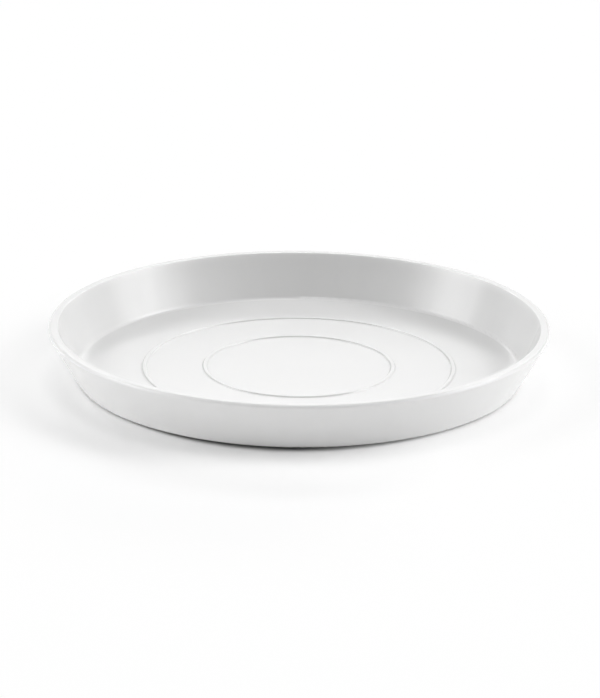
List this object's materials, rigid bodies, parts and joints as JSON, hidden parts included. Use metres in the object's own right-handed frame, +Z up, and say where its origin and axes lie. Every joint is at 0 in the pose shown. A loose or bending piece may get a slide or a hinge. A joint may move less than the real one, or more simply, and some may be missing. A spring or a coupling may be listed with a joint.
{
  "type": "plant saucer",
  "caption": "Round shallow plant saucer with a flared wall, a rounded rim and raised rings on its floor, standing on stick-on anti-slip pads set in blind pockets.",
  "frame": {"origin": "on the table, under the middle of the dish", "axes": "+Z up along the dish's axis; +X and +Y across it, with a pad on +X"},
  "size_m": [0.3, 0.3, 0.0322],
  "materials": {
    "dish": "satin",
    "pads": "matte",
    "tape": "matte"
  },
  "bodies": {
    "root": {"saucer_body": "dish", "foot_pad_1": "pads", "foot_pad_2": "pads", "foot_pad_3": "pads", "foot_pad_4": "pads", "foot_pad_5": "pads", "foot_pad_6": "pads", "pad_tape_1": "tape", "pad_tape_2": "tape", "pad_tape_3": "tape", "pad_tape_4": "tape", "pad_tape_5": "tape", "pad_tape_6": "tape"}
  },
  "joints": []
}
